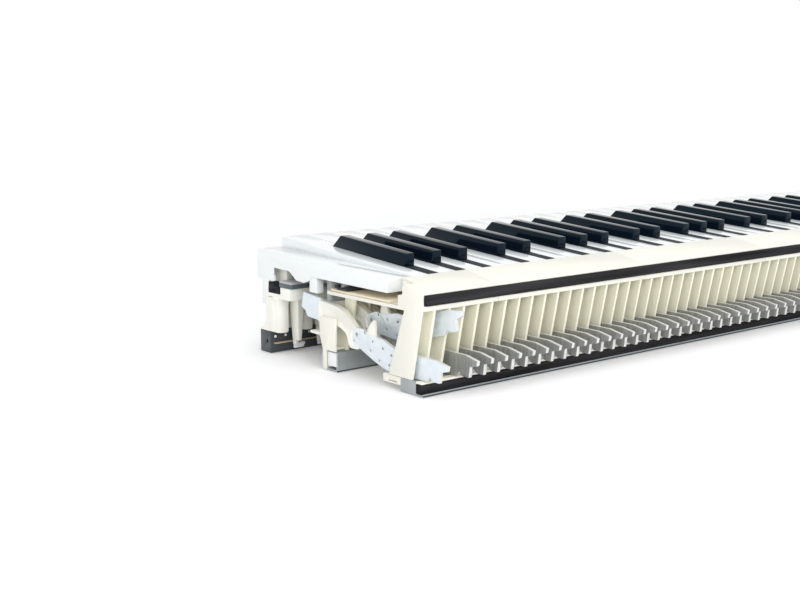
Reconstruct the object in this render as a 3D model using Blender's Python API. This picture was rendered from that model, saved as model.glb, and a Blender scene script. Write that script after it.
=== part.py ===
"""Hammer-action keyboard of a digital piano, 88 keys, out of its cabinet.

Each key rocks on a hinge shaft under the rear deck. A pusher under the key presses a weighted
hammer in front of the hammer's own shaft, and the hammer's steel tail swings up behind the
chassis. The treble octave has one object for each key and hammer. In the six lower octaves the
white keys and the black keys of an octave are combs, each joined by a strip at its rear, and the
hammers of an octave share one turning shaft.

Lengths in the drawing are millimetres. X runs from the treble end (0) towards the bass
(negative), Y from the player to the rear with 0 at the rear face of the black caps, and Z up with
0 at the rear top edge of the black caps. The finished model is moved so that its origin lies in
the middle of its footprint, on the surface that it stands on. Outlines are lists of (y, z) points.
"""
import bpy
import bmesh
from math import asin, cos, radians, sin, tan
from mathutils import Matrix, Vector

MM = 0.001

# Keyboard
OCTAVE = 164.5
WHITE_KEYS = 52
SLOTS_PER_OCTAVE = 12
KEY_GAP = 1.0
TAIL_GAP = 0.75
FLOOR_Z = -90.0
SEAT_GAP = 0.3
SINK = 1.0

# Keys, drawn level with the hinge shaft at 0
KEY_TILT = radians(4.5)
KEY_DIP = 8.0
KEY_PIVOT_Y = 36.0
KEY_PIVOT_Z = -18.0
KEY_FRONT = 177.5
KEY_REAR = 9.5
WHITE_HEAD = 48.5
KEY_TOP = 5.5
KEY_THICK = 12.5
KEY_WALL = 1.6
KEY_TOP_WALL = 2.0
SKIRT_HEIGHT = 27.0
SKIRT_LENGTH = 23.4
BLACK_WIDTH = 9.7
BLACK_CAP_EDGE = 0.15
BLACK_TOP_WIDTH = 8.6
BLACK_BODY_TOP = 4.0
BLACK_CAP_TOP = 15.1
BLACK_CAP_REAR = 37.3
BLACK_CAP_FLAT = 81.0
BLACK_CAP_SLOPE = 9.2
BLACK_BODY_FRONT = 126.0
BLACK_BODY_SHORTER = 1.0
TONGUE_END = 3.3
TONGUE_TOP = 2.9
TONGUE_BOTTOM = -4.5
TONGUE_INSET = 1.0
COMB_INSET = 2.0
WHITE_COMB_Z = (-6.8, -4.3)
BLACK_COMB_LENGTH = 2.6
BLACK_COMB_Z = (-2.0, 2.1)
PUSHER_FRONT = 103.0
PUSHER_REAR = 98.0
PUSHER_TAPER = 1.0
PUSHER_WIDTH = 3.4
PUSHER_FOOT_Z = -36.6

# Shafts
KEY_SHAFT_R = 1.5
HAMMER_SHAFT_R = 1.6
SHAFT_CLEARANCE = 0.3

# Hammers, with outlines counted from the hammer shaft
HAMMER_PIVOT_Y = -47.5
HAMMER_PIVOT_Z = -54.0
HAMMER_SWING = radians(15.5)
END_HAMMER_INSET = 4.492
STEEL_THICK = 3.0
ARM_THICK = 6.0
BANK_THICK = 3.2
NOSE_REACH = 135.5
HAMMER_REST_GAP = 0.4
ARM_FOOT = -6.2

# Rails and felts
RAIL_THICK = 1.2
FRONT_RAIL_Y = (-137.6, -122.8)
FRONT_RAIL_TOP = -72.5
FRONT_RAIL_SLOT = (-86.4, -76.5)
MIDDLE_RAIL_Y = (-45.5, -33.0)
MIDDLE_RAIL_TOP = -75.0
MIDDLE_RAIL_SLOT = (-88.0, -86.2)
REAR_RAIL_Y = (31.0, 66.4)
REAR_RAIL_TOP = -80.0
REAR_RAIL_STEP_Y = 57.5
REAR_RAIL_LIP = 3.0
LOWER_FELT_Y = (58.8, 65.0)
CUSHION_TOP = -79.6
CUSHION_THICK = 1.8
UPPER_FELT_Y = (57.0, 67.0)
UPPER_FELT_LEAN = 1.5
STOP_RAIL_Y = (-109.6, -70.0)
STOP_RAIL_Z = (-34.4, -31.0)
STOP_FELT_TOP = -28.0
STOP_FELT_EDGE = 0.5

# Chassis
RIB_THICK = 1.6
END_FRAME_THICK = 2.0
DECK_FRONT_Y = 31.0
DECK_REAR_Y = 66.5
DECK_FRONT_Z = -11.0
DECK_REAR_Z = -18.0
DECK_THICK = 2.0
DECK_WALL = 1.7
FLANGE_TOP_Z = -26.5
FLANGE_THICK = 2.0
FLANGE_LIP = 0.8
POST_FOOT_Y = (30.0, 55.5)
POST_FRONT_Y = 46.8
WEB_FRONT_Y = -43.7
WEB_TOP_Z = -29.0
WEB_BOTTOM_Z = -31.6
LEG_TOP_Y = (-36.0, -22.7)
LEG_FOOT = (-27.0, -50.5)
COLUMN_Y_RANGE = (-54.1, -34.0)
COLUMN_TOP_Z = -49.5
TAB_Y = (-50.4, -45.8)
TAB_TOP_Z = -74.0
TAB_FOOT_Z = -89.7
COLUMN_TAPER_Z = -64.0
FOOT_BAR_Y = (-50.0, -38.0)
END_PLATE = [(39.9, -21.6), (44.7, -20.5)]
DECK_NOTCH_X = -11.0
DECK_NOTCH_REAR_Y = 44.7
FOOT_BAR_LIFT = 0.3
FOOT_BAR_THICK = 2.1
HANGER_LENGTH = 10.0
HANGER_DROP = 3.0
HANGER_THICK = 1.4

# Front guide frame
GUIDE_WALL_Y = (-129.0, -125.4)
GUIDE_WALL_TOP = -36.0
GUIDE_FOOT_FRONT_Y = -137.6
GUIDE_FOOT_STEPS = [(-134.7, 3.2), (-129.0, 8.0)]
GUIDE_FOOT_THICK = 1.2
GUIDE_END_THICK = 2.0
GUIDE_END_REAR_Y = -117.5
GUIDE_SHELF_Z = (-44.0, -40.5)
GUIDE_STEP_Y = (-108.0, -94.5)
GUIDE_POST_STEP = 3
COLUMN_R = 6.0
COLUMN_FOOT_R = 5.6
COLUMN_INSET = 6.3
COLUMN_Y = -116.6
COLUMN_FOOT_Z = -73.4
BOSS_STEP = 10.6
BOSS_Y = -110.0
BOSS_TOP_R = 6.2
BOSS_FOOT_R = 3.6
BOSS_FOOT_Z = -79.5

# Sensor board
BOARD_Y = (-40.0, 30.0)
BOARD_THICK = 1.6
CONTACT_Y = (-33.0, -20.0)
CONTACT_HEIGHT = 3.0

# Sizes that follow from the ones above
WHITE_PITCH = OCTAVE / 7
SLOT_PITCH = OCTAVE / SLOTS_PER_OCTAVE
LENGTH = WHITE_KEYS * WHITE_PITCH
KEY_TURN = asin(KEY_DIP / KEY_FRONT)
KEY_UNDERSIDE = KEY_TOP - KEY_THICK
SKIRT_FOOT = KEY_TOP - SKIRT_HEIGHT
DECK_SLOPE = (DECK_REAR_Z - DECK_FRONT_Z) / (DECK_REAR_Y - DECK_FRONT_Y)
KEY_SHAFT_SEAT = KEY_SHAFT_R + SHAFT_CLEARANCE
HAMMER_SHAFT_SEAT = HAMMER_SHAFT_R + SHAFT_CLEARANCE
FIRST_HAMMER_X = -END_HAMMER_INSET - SLOT_PITCH
TAIL_REST = CUSHION_TOP + HAMMER_REST_GAP - HAMMER_PIVOT_Z
FULL_WIDTH = (-LENGTH, 0.0)
KEY_PIVOT = (0.0, KEY_PIVOT_Y, KEY_PIVOT_Z)
HAMMER_PIVOT = (0.0, HAMMER_PIVOT_Y, HAMMER_PIVOT_Z)

# Middles of the black keys in an octave, in white keys from the left edge of C
BLACK_PLACES = {1: 0.9, 3: 2.1, 6: 3.857, 8: 5.0, 10: 6.143}
WHITE_PLACES = {0: 0, 2: 1, 4: 2, 5: 3, 7: 4, 9: 5, 11: 6}
NOTE_NAMES = ("c", "c_sharp", "d", "d_sharp", "e", "f", "f_sharp", "g", "g_sharp", "a",
              "a_sharp", "b")
KEY_COUNT = 88
SINGLE_KEYS = 13
TOP_OCTAVE = 8

# The stop lug under a white key, counted from the hinge shaft and from the key's underside
STOP_LUG = [(-132.0, 0.0), (-122.3, -5.9), (-112.4, -6.1), (-105.8, -3.7), (-102.0, 0.0)]

# The steel plate, from the hub's rear under the tail, round the nose and back over the stop spike
STEEL = [(28.0, -14.5), (38.9, -14.2), (53.8, -20.1), (64.2, -23.6), (71.5, TAIL_REST),
         (NOSE_REACH - 21.0, TAIL_REST), (NOSE_REACH - 18.0, TAIL_REST + 3.7),
         (NOSE_REACH - 15.5, TAIL_REST + 1.0), (NOSE_REACH - 8.5, TAIL_REST + 1.0),
         (NOSE_REACH - 7.5, -16.5), (NOSE_REACH - 0.8, -14.8), (NOSE_REACH, -11.2),
         (NOSE_REACH - 12.0, -8.8), (95.5, -8.5), (80.5, -8.4), (74.5, -6.5), (66.0, -3.6),
         (59.0, -2.8), (57.0, 7.4), (55.0, 8.7), (48.1, 2.8), (42.0, 1.0), (31.0, -1.0)]

# The moulded arm: from its front edge along the underside to the hammer shaft, and from there
# round the cup that holds the steel plate and back along the top
ARM_FRONT = [(-32.0, 18.8), (-35.5, 7.9), (-26.4, 1.9), (-12.6, -0.5), (-5.0, ARM_FOOT)]
ARM_REAR = [(5.5, ARM_FOOT - 0.3), (8.0, -1.0), (10.4, 0.4), (23.0, -4.2), (25.3, -7.3),
            (27.0, -14.9), (37.0, -15.0), (36.5, -6.0), (34.0, 0.0), (31.5, 2.3), (19.5, 11.3),
            (9.5, 14.0), (-9.5, 15.5)]

# The plainer hammer of the lower octaves
BANK_HAMMER = [(-32.0, 18.8), (-35.5, 8.0), (-4.5, -7.0), (71.5, TAIL_REST),
               (NOSE_REACH - 8.5, TAIL_REST + 1.0), (NOSE_REACH, -12.0), (74.5, -11.8),
               (10.5, 14.5)]

# The model's front and rear ends, used to put the origin in the middle of the footprint
FRONT_Y = KEY_PIVOT_Y - KEY_FRONT * cos(KEY_TILT) + SKIRT_FOOT * sin(KEY_TILT)
NOSE_Y = HAMMER_PIVOT_Y + NOSE_REACH
ORIGIN = Vector((-LENGTH / 2, (NOSE_Y + FRONT_Y) / 2, FLOOR_Z))


def make_material(name, colour, roughness, metallic=0.0):
    material = bpy.data.materials.new(name)
    material.use_nodes = True
    shader = material.node_tree.nodes["Principled BSDF"]
    shader.inputs["Base Color"].default_value = (*colour, 1.0)
    shader.inputs["Roughness"].default_value = roughness
    shader.inputs["Metallic"].default_value = metallic
    return material


def slab(outline, x_low, x_high):
    """A plate: an outline of (y, z) points, extruded along X."""
    bm = bmesh.new()
    low = [bm.verts.new((x_low, y, z)) for y, z in outline]
    face = bm.faces.new(low)
    extruded = bmesh.ops.extrude_face_region(bm, geom=[face])
    moved = [item for item in extruded["geom"] if isinstance(item, bmesh.types.BMVert)]
    bmesh.ops.translate(bm, verts=moved, vec=(x_high - x_low, 0, 0))
    bmesh.ops.recalc_face_normals(bm, faces=bm.faces)
    return bm


def plate(outline, x, thickness):
    """A plate of some thickness, centred on x."""
    return slab(outline, x - thickness / 2, x + thickness / 2)


def box(x_range, y_range, z_range):
    corners = [(y_range[0], z_range[0]), (y_range[1], z_range[0]),
               (y_range[1], z_range[1]), (y_range[0], z_range[1])]
    return slab(corners, *x_range)


def loft(lower, upper):
    """A closed solid between two rings of as many points."""
    bm = bmesh.new()
    bottom = [bm.verts.new(point) for point in lower]
    top = [bm.verts.new(point) for point in upper]
    bm.faces.new(bottom)
    bm.faces.new(top)
    count = len(bottom)
    for index in range(count):
        after = (index + 1) % count
        bm.faces.new((bottom[index], bottom[after], top[after], top[index]))
    bmesh.ops.recalc_face_normals(bm, faces=bm.faces)
    return bm


def post(x, y, z_low, z_high, radius_low, radius_high, sides=6):
    """An upright round post, straight or tapered."""
    bm = bmesh.new()
    bmesh.ops.create_cone(bm, cap_ends=True, segments=sides, radius1=radius_low,
                          radius2=radius_high, depth=z_high - z_low)
    bmesh.ops.translate(bm, verts=bm.verts, vec=(x, y, (z_low + z_high) / 2))
    return bm


def rod(y, z, radius, x_low, x_high, sides=8):
    """A round bar along X."""
    bm = bmesh.new()
    bmesh.ops.create_cone(bm, cap_ends=True, segments=sides, radius1=radius, radius2=radius,
                          depth=x_high - x_low)
    turn = Matrix.Rotation(radians(90), 4, "Y")
    bmesh.ops.transform(bm, matrix=turn, verts=bm.verts)
    bmesh.ops.translate(bm, verts=bm.verts, vec=((x_low + x_high) / 2, y, z))
    return bm


def join(pieces):
    """Several meshes as one, without merging them."""
    whole = bmesh.new()
    for piece in pieces:
        mesh = bpy.data.meshes.new("joined")
        piece.to_mesh(mesh)
        piece.free()
        whole.from_mesh(mesh)
        bpy.data.meshes.remove(mesh)
    return whole


def combine(first, second, operation):
    """One Boolean of two meshes."""
    helpers = []
    for bm in (first, second):
        mesh = bpy.data.meshes.new("helper")
        bm.to_mesh(mesh)
        bm.free()
        helper = bpy.data.objects.new("helper", mesh)
        helper.hide_render = True
        helper.display_type = "WIRE"
        bpy.context.scene.collection.objects.link(helper)
        helpers.append(helper)
    modifier = helpers[0].modifiers.new("cut", "BOOLEAN")
    modifier.operation = operation
    modifier.object = helpers[1]
    graph = bpy.context.evaluated_depsgraph_get()
    result = bpy.data.meshes.new_from_object(helpers[0].evaluated_get(graph))
    bm = bmesh.new()
    bm.from_mesh(result)
    bpy.data.meshes.remove(result)
    for helper in helpers:
        mesh = helper.data
        bpy.data.objects.remove(helper)
        bpy.data.meshes.remove(mesh)
    return bm


def fuse(first, *others):
    for other in others:
        first = combine(first, other, "UNION")
    return first


def cut(first, second):
    return combine(first, second, "DIFFERENCE")


def place(name, bm, material, pivot=None, turn=0.0):
    """Makes the object. One with a pivot is drawn with 0 there and tipped about X by turn."""
    bmesh.ops.scale(bm, verts=bm.verts, vec=(MM, MM, MM))
    bmesh.ops.dissolve_limit(bm, angle_limit=radians(0.05), verts=bm.verts, edges=bm.edges)
    mesh = bpy.data.meshes.new(name)
    bm.to_mesh(mesh)
    bm.free()
    mesh.materials.append(material)
    item = bpy.data.objects.new(name, mesh)
    item.location = (Vector(pivot or (0.0, 0.0, 0.0)) - ORIGIN) * MM
    item.rotation_euler = (turn, 0.0, 0.0)
    bpy.context.scene.collection.objects.link(item)


def note_of(number):
    """Octave number and place in the octave of key 1 (A0) to key 88 (C8)."""
    return divmod(number + 8, 12)


def octave_left(octave):
    """X of the left edge of an octave's C."""
    return -WHITE_PITCH - (TOP_OCTAVE - octave) * OCTAVE


def is_white(number):
    return note_of(number)[1] in WHITE_PLACES


def head_span(number):
    octave, step = note_of(number)
    left = octave_left(octave) + WHITE_PLACES[step] * WHITE_PITCH
    return left + KEY_GAP / 2, left + WHITE_PITCH - KEY_GAP / 2


def black_middle(number):
    octave, step = note_of(number)
    return octave_left(octave) + BLACK_PLACES[step] * WHITE_PITCH


def tail_span(number):
    """The part of a key between its neighbours, behind the white heads."""
    half_black = BLACK_WIDTH / 2
    if not is_white(number):
        middle = black_middle(number)
        return middle - half_black, middle + half_black
    low, high = head_span(number)
    if number > 1 and not is_white(number - 1):
        low = black_middle(number - 1) + half_black + TAIL_GAP
    if number < KEY_COUNT and not is_white(number + 1):
        high = black_middle(number + 1) - half_black - TAIL_GAP
    return low, high


def comb_span(numbers):
    """Width of the strip that joins an octave's white or black keys."""
    return tail_span(numbers[0])[0] + COMB_INSET, tail_span(numbers[-1])[1] - COMB_INSET


def hammer_x(number):
    return FIRST_HAMMER_X - SLOT_PITCH * (KEY_COUNT - number)


def rib_x(index):
    """Rib 0 stands between the two hammers at the treble end."""
    return FIRST_HAMMER_X + SLOT_PITCH * (0.5 - index)


def clip_tongue(span):
    """The key's rear end, which clips over the hinge shaft from above, clear of the last lug."""
    seat = KEY_SHAFT_SEAT
    span = (span[0], min(span[1], treble_hanger_x() - HANGER_THICK / 2))
    front = -KEY_REAR - SINK
    outline = [(front, TONGUE_TOP), (front, TONGUE_BOTTOM), (-seat, TONGUE_BOTTOM), (-seat, seat),
               (seat, seat), (seat, TONGUE_BOTTOM), (TONGUE_END, TONGUE_BOTTOM),
               (TONGUE_END, TONGUE_TOP)]
    return slab(outline, span[0] + TONGUE_INSET, span[1] - TONGUE_INSET)


def pusher(number):
    """The leg that presses the hammer. Its foot is level while the key is at rest."""
    foot = (PUSHER_FOOT_Z - KEY_PIVOT_Z) / cos(KEY_TILT)
    lean = tan(KEY_TILT)
    top = KEY_TOP - KEY_TOP_WALL + SEAT_GAP
    outline = [(-PUSHER_FRONT, foot - PUSHER_FRONT * lean),
               (-PUSHER_REAR, foot - PUSHER_REAR * lean),
               (-PUSHER_REAR + PUSHER_TAPER, top), (-PUSHER_FRONT - PUSHER_TAPER, top)]
    return plate(outline, hammer_x(number), PUSHER_WIDTH)


def white_key(number, single):
    """A white key. A single one is hollow, with its pusher, stop lug and clip."""
    head = head_span(number)
    tail = tail_span(number)
    neck = -KEY_FRONT + WHITE_HEAD
    skirt_rear = -KEY_FRONT + SKIRT_LENGTH
    head_outline = [(-KEY_FRONT, KEY_TOP), (-KEY_FRONT, SKIRT_FOOT), (skirt_rear, SKIRT_FOOT),
                    (skirt_rear, KEY_UNDERSIDE), (neck, KEY_UNDERSIDE), (neck, KEY_TOP)]
    lug = [(y, KEY_UNDERSIDE + z) for y, z in STOP_LUG]
    start = neck - KEY_WALL
    tail_outline = [(start, KEY_TOP), (start, KEY_UNDERSIDE)] + (lug if single else [])
    tail_outline += [(-KEY_REAR, KEY_UNDERSIDE), (-KEY_REAR, KEY_TOP)]
    body = fuse(slab(head_outline, *head), slab(tail_outline, *tail))
    if not single:
        return body
    hollow = (SKIRT_FOOT - SINK, KEY_TOP - KEY_TOP_WALL)
    head_pocket = box((head[0] + KEY_WALL, head[1] - KEY_WALL),
                      (-KEY_FRONT + KEY_WALL, neck - KEY_WALL), hollow)
    tail_pocket = box((tail[0] + KEY_WALL, tail[1] - KEY_WALL),
                      (neck + KEY_WALL, -KEY_REAR - KEY_WALL), hollow)
    body = cut(body, join([head_pocket, tail_pocket]))
    return fuse(body, pusher(number), clip_tongue(tail))


def black_cap(number):
    """The tapered cap, as a loft from its foot to its smaller top."""
    middle = black_middle(number)
    foot_front = -BLACK_CAP_REAR - BLACK_CAP_FLAT - BLACK_CAP_SLOPE

    def ring(half_width, front, height):
        corners = [(-half_width, front), (half_width, front), (half_width, -BLACK_CAP_REAR),
                   (-half_width, -BLACK_CAP_REAR)]
        return [(middle + x, y, height) for x, y in corners]

    foot = ring(BLACK_WIDTH / 2 + BLACK_CAP_EDGE, foot_front, BLACK_BODY_TOP - SINK / 2)
    return loft(foot, ring(BLACK_TOP_WIDTH / 2, foot_front + BLACK_CAP_SLOPE, BLACK_CAP_TOP))


def black_key(number, single):
    """A black key: a body with its cap. A single one is hollow, as above."""
    span = tail_span(number)
    rear = -KEY_REAR - BLACK_BODY_SHORTER
    body = box(span, (-BLACK_BODY_FRONT, rear), (KEY_UNDERSIDE, BLACK_BODY_TOP))
    body = fuse(body, black_cap(number))
    if not single:
        tongue = box((span[0] + TONGUE_INSET, span[1] - TONGUE_INSET),
                     (rear - SINK, TONGUE_END + SINK), (KEY_SHAFT_SEAT, TONGUE_TOP))
        return fuse(body, tongue)
    pocket = box((span[0] + KEY_WALL, span[1] - KEY_WALL),
                 (-BLACK_BODY_FRONT + KEY_WALL, rear - KEY_WALL),
                 (KEY_UNDERSIDE - SINK, BLACK_BODY_TOP - KEY_TOP_WALL))
    return fuse(cut(body, pocket), pusher(number), clip_tongue(span))


def white_comb(numbers):
    """An octave's white keys. Their strip bears on the front of the hinge shaft."""
    strip = box(comb_span(numbers), (-KEY_REAR - SINK / 2, -KEY_SHAFT_SEAT), WHITE_COMB_Z)
    return fuse(join([white_key(number, False) for number in numbers]), strip)


def black_comb(numbers):
    """An octave's black keys. Their tongues lie on the hinge shaft, with a strip behind it."""
    strip = box(comb_span(numbers), (TONGUE_END, TONGUE_END + BLACK_COMB_LENGTH), BLACK_COMB_Z)
    return fuse(join([black_key(number, False) for number in numbers]), strip)


def shaft_notch(foot):
    """The slot, open below, by which a hub clips onto the hammer shaft."""
    seat = HAMMER_SHAFT_SEAT
    return [(-seat, foot), (-seat, seat), (seat, seat), (seat, foot)]


def single_hammer(x):
    """Moulded arm on the shaft, with the steel weight plate held in the cup at its rear."""
    arm = ARM_FRONT + shaft_notch(ARM_FOOT) + ARM_REAR
    return fuse(plate(arm, x, ARM_THICK), plate(STEEL, x, STEEL_THICK))


def hammer_bank(numbers):
    """An octave's hammers on their own length of shaft, which ends over the ribs."""
    hammers = join([plate(BANK_HAMMER, hammer_x(number), BANK_THICK) for number in numbers])
    reach = (SLOT_PITCH - SEAT_GAP) / 2
    shaft = rod(0.0, 0.0, HAMMER_SHAFT_R, hammer_x(numbers[0]) - reach,
                hammer_x(numbers[-1]) + reach, sides=6)
    return fuse(hammers, shaft)


def deck_z(y):
    return DECK_FRONT_Z + DECK_SLOPE * (y - DECK_FRONT_Y)


def post_outline():
    """The rear post of a rib, from the flange down to the rear rail."""
    foot = REAR_RAIL_TOP + SEAT_GAP
    wall_y = UPPER_FELT_Y[0] - SEAT_GAP
    return [(wall_y, FLANGE_TOP_Z - SINK), (UPPER_FELT_Y[1] - FLANGE_LIP, FLANGE_TOP_Z - SINK),
            (POST_FOOT_Y[1], foot), (POST_FOOT_Y[0], foot), (POST_FRONT_Y, WEB_BOTTOM_Z)]


def column_outline():
    """The mid column's front and foot, from its top to its rear, with the tab before the rail."""
    column_foot = MIDDLE_RAIL_TOP + SEAT_GAP
    front, rear = COLUMN_Y_RANGE
    return [(rear, column_foot), (TAB_Y[1], column_foot), (TAB_Y[1], TAB_FOOT_Z),
            (TAB_Y[0], TAB_FOOT_Z), (TAB_Y[0], TAB_TOP_Z), (front, COLUMN_TAPER_Z),
            (front, COLUMN_TOP_Z)]


def full_rib_outline():
    """A rib that also has the web, the leg and the mid column with the hammer shaft's bore."""
    leg_front, leg_rear = LEG_TOP_Y
    return (post_outline() + [(leg_rear, WEB_BOTTOM_Z), LEG_FOOT,
                              (COLUMN_Y_RANGE[1], LEG_FOOT[1] - SINK)]
            + column_outline() + [(leg_front - SINK, COLUMN_TOP_Z), (leg_front, WEB_BOTTOM_Z),
                                  (WEB_FRONT_Y, WEB_BOTTOM_Z), (WEB_FRONT_Y, WEB_TOP_Z),
                                  (POST_FRONT_Y, WEB_TOP_Z)])


def end_frames():
    """At each end: a plate from the deck to the rear rail with the web, and a mid column."""
    deck_rear = UPPER_FELT_Y[1] - FLANGE_LIP
    outline = [(END_PLATE[0][0], WEB_TOP_Z), *END_PLATE,
               (DECK_NOTCH_REAR_Y, deck_z(DECK_NOTCH_REAR_Y) - SINK),
               (deck_rear, deck_z(deck_rear) - SINK)]
    outline += post_outline()[1:] + [(WEB_FRONT_Y, WEB_BOTTOM_Z), (WEB_FRONT_Y, WEB_TOP_Z)]
    column = column_outline() + [(COLUMN_Y_RANGE[1], COLUMN_TOP_Z)]
    return [plate(shape, x, END_FRAME_THICK) for x in FULL_WIDTH for shape in (outline, column)]


def deck_outline():
    """Deck, wall in front of the upper felt, and the flange under the felt, in one."""
    wall_rear = UPPER_FELT_Y[0] - SEAT_GAP
    wall_front = wall_rear - DECK_WALL
    return [(DECK_FRONT_Y, DECK_FRONT_Z), (DECK_FRONT_Y, DECK_FRONT_Z - DECK_THICK),
            (wall_front, deck_z(wall_front) - DECK_THICK),
            (wall_front, FLANGE_TOP_Z - FLANGE_THICK), (UPPER_FELT_Y[1], FLANGE_TOP_Z - FLANGE_THICK),
            (UPPER_FELT_Y[1], FLANGE_TOP_Z), (wall_rear, FLANGE_TOP_Z),
            (wall_rear, deck_z(wall_rear) - DECK_THICK), (DECK_REAR_Y, DECK_REAR_Z - DECK_THICK),
            (DECK_REAR_Y, DECK_REAR_Z)]


def treble_hanger_x():
    """The last lug stands behind the notch in the deck's treble corner."""
    return DECK_NOTCH_X - HANGER_THICK / 2 - SEAT_GAP


def shaft_hangers():
    """Lugs under the deck with the bore for the key hinge shaft, one at each octave's end."""
    front = KEY_PIVOT_Y - HANGER_LENGTH / 2
    rear = KEY_PIVOT_Y + HANGER_LENGTH / 2
    foot = KEY_PIVOT_Z - KEY_SHAFT_R - HANGER_DROP
    outline = [(front, deck_z(front) - SINK), (front, foot), (rear, foot),
               (rear, deck_z(rear) - SINK)]
    places = [octave_left(octave) for octave in range(2, TOP_OCTAVE + 1)]
    places += [FULL_WIDTH[0], treble_hanger_x()]
    bore = rod(KEY_PIVOT_Y, KEY_PIVOT_Z, KEY_SHAFT_SEAT, -LENGTH - HANGER_LENGTH, HANGER_LENGTH)
    return cut(join([plate(outline, x, HANGER_THICK) for x in places]), bore)


def chassis():
    """Deck and flange on a rib at each side of every hammer, with a full rib at octave ends."""
    ribs = []
    full_ribs = end_frames()
    for index in range(KEY_COUNT + 1):
        if index % SLOTS_PER_OCTAVE == 1 or index in (0, 2, KEY_COUNT):
            full_ribs.append(plate(full_rib_outline(), rib_x(index), RIB_THICK))
        else:
            ribs.append(plate(post_outline(), rib_x(index), RIB_THICK))
    bore = rod(HAMMER_PIVOT_Y, HAMMER_PIVOT_Z, HAMMER_SHAFT_SEAT, -LENGTH - HANGER_LENGTH,
               HANGER_LENGTH)
    ribs.append(cut(join(full_ribs), bore))
    bar_z = MIDDLE_RAIL_TOP + SEAT_GAP + FOOT_BAR_LIFT
    foot_bar = box(FULL_WIDTH, FOOT_BAR_Y, (bar_z, bar_z + FOOT_BAR_THICK))
    deck = cut(slab(deck_outline(), *FULL_WIDTH),
               box((DECK_NOTCH_X, HANGER_LENGTH), (DECK_FRONT_Y - SINK, DECK_NOTCH_REAR_Y),
                   (DECK_REAR_Z, DECK_FRONT_Z + SINK)))
    frame = fuse(join(ribs), join([deck, foot_bar]))
    return fuse(frame, shaft_hangers())


def front_guide_frame():
    """Wall on the front rail, shelf to the key stop rail, and the round legs below the shelf."""
    foot = FRONT_RAIL_TOP + SEAT_GAP
    stop_seat = STOP_RAIL_Z[0] - SEAT_GAP
    shelf_bottom, shelf_top = GUIDE_SHELF_Z
    wall = [(GUIDE_FOOT_FRONT_Y, foot), (GUIDE_WALL_Y[1], foot),
            (GUIDE_WALL_Y[1], shelf_bottom), (GUIDE_STEP_Y[1], shelf_bottom),
            (GUIDE_STEP_Y[1], stop_seat), (GUIDE_STEP_Y[0], stop_seat),
            (GUIDE_STEP_Y[0], shelf_top), (GUIDE_WALL_Y[1], shelf_top),
            (GUIDE_WALL_Y[1], GUIDE_WALL_TOP), (GUIDE_WALL_Y[0], GUIDE_WALL_TOP)]
    wall += [(y, foot + rise) for y, rise in reversed(GUIDE_FOOT_STEPS)]
    wall.append((GUIDE_FOOT_FRONT_Y, foot + GUIDE_FOOT_THICK))
    top = shelf_bottom + SINK
    end_y = (GUIDE_WALL_Y[0] + SINK, GUIDE_END_REAR_Y)
    legs = [box(span, end_y, (foot, top))
            for span in ((-LENGTH, GUIDE_END_THICK - LENGTH), (-GUIDE_END_THICK, 0.0))]
    for index in range(0, WHITE_KEYS, GUIDE_POST_STEP):
        x = -COLUMN_INSET - WHITE_PITCH * index
        legs.append(post(x, COLUMN_Y, COLUMN_FOOT_Z, top, COLUMN_FOOT_R, COLUMN_R))
        if index % 2 == 0:
            legs.append(post(x - BOSS_STEP, BOSS_Y, BOSS_FOOT_Z, top, BOSS_FOOT_R, BOSS_TOP_R))
    return fuse(slab(wall, *FULL_WIDTH), *legs)


def rail_channel(y_range, top, slot):
    """A channel of bent sheet along the whole keyboard, with a slot in its front wall."""
    low, high = y_range
    front = low + RAIL_THICK
    inner = high - RAIL_THICK
    floor = FLOOR_Z + RAIL_THICK
    outline = [(low, FLOOR_Z), (high, FLOOR_Z), (high, top), (low, top), (low, slot[1]),
               (front, slot[1]), (front, top - RAIL_THICK), (inner, top - RAIL_THICK),
               (inner, floor), (front, floor), (front, slot[0]), (low, slot[0])]
    return slab(outline, *FULL_WIDTH)


def front_rail():
    """The front channel, closed by a tab at each end."""
    tabs = [box(span, FRONT_RAIL_Y, (FLOOR_Z, FRONT_RAIL_TOP))
            for span in ((-LENGTH, RAIL_THICK - LENGTH), (-RAIL_THICK, 0.0))]
    return fuse(rail_channel(FRONT_RAIL_Y, FRONT_RAIL_TOP, FRONT_RAIL_SLOT), *tabs)


def rear_rail():
    """Step-shaped rail: the ribs stand on its high part and the felt lies on its low part."""
    low, high = REAR_RAIL_Y
    step = REAR_RAIL_STEP_Y
    floor = FLOOR_Z + RAIL_THICK
    lip = FLOOR_Z + REAR_RAIL_LIP
    outline = [(low, FLOOR_Z), (high, FLOOR_Z), (high, lip), (high - RAIL_THICK, lip),
               (high - RAIL_THICK, floor), (step, floor), (step, REAR_RAIL_TOP),
               (low, REAR_RAIL_TOP), (low, REAR_RAIL_TOP - RAIL_THICK),
               (step - RAIL_THICK, REAR_RAIL_TOP - RAIL_THICK), (step - RAIL_THICK, floor),
               (low, floor)]
    return slab(outline, *FULL_WIDTH)


def upper_felt():
    """Felt strip between the flange and the deck, and between the end frames."""
    front, rear = UPPER_FELT_Y
    foot = FLANGE_TOP_Z + SEAT_GAP
    drop = DECK_THICK + SEAT_GAP
    outline = [(front, foot), (rear + UPPER_FELT_LEAN, foot),
               (DECK_REAR_Y, deck_z(DECK_REAR_Y) - drop), (front, deck_z(front) - drop)]
    inset = END_FRAME_THICK / 2 + SEAT_GAP
    return slab(outline, FULL_WIDTH[0] + inset, FULL_WIDTH[1] - inset)


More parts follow.
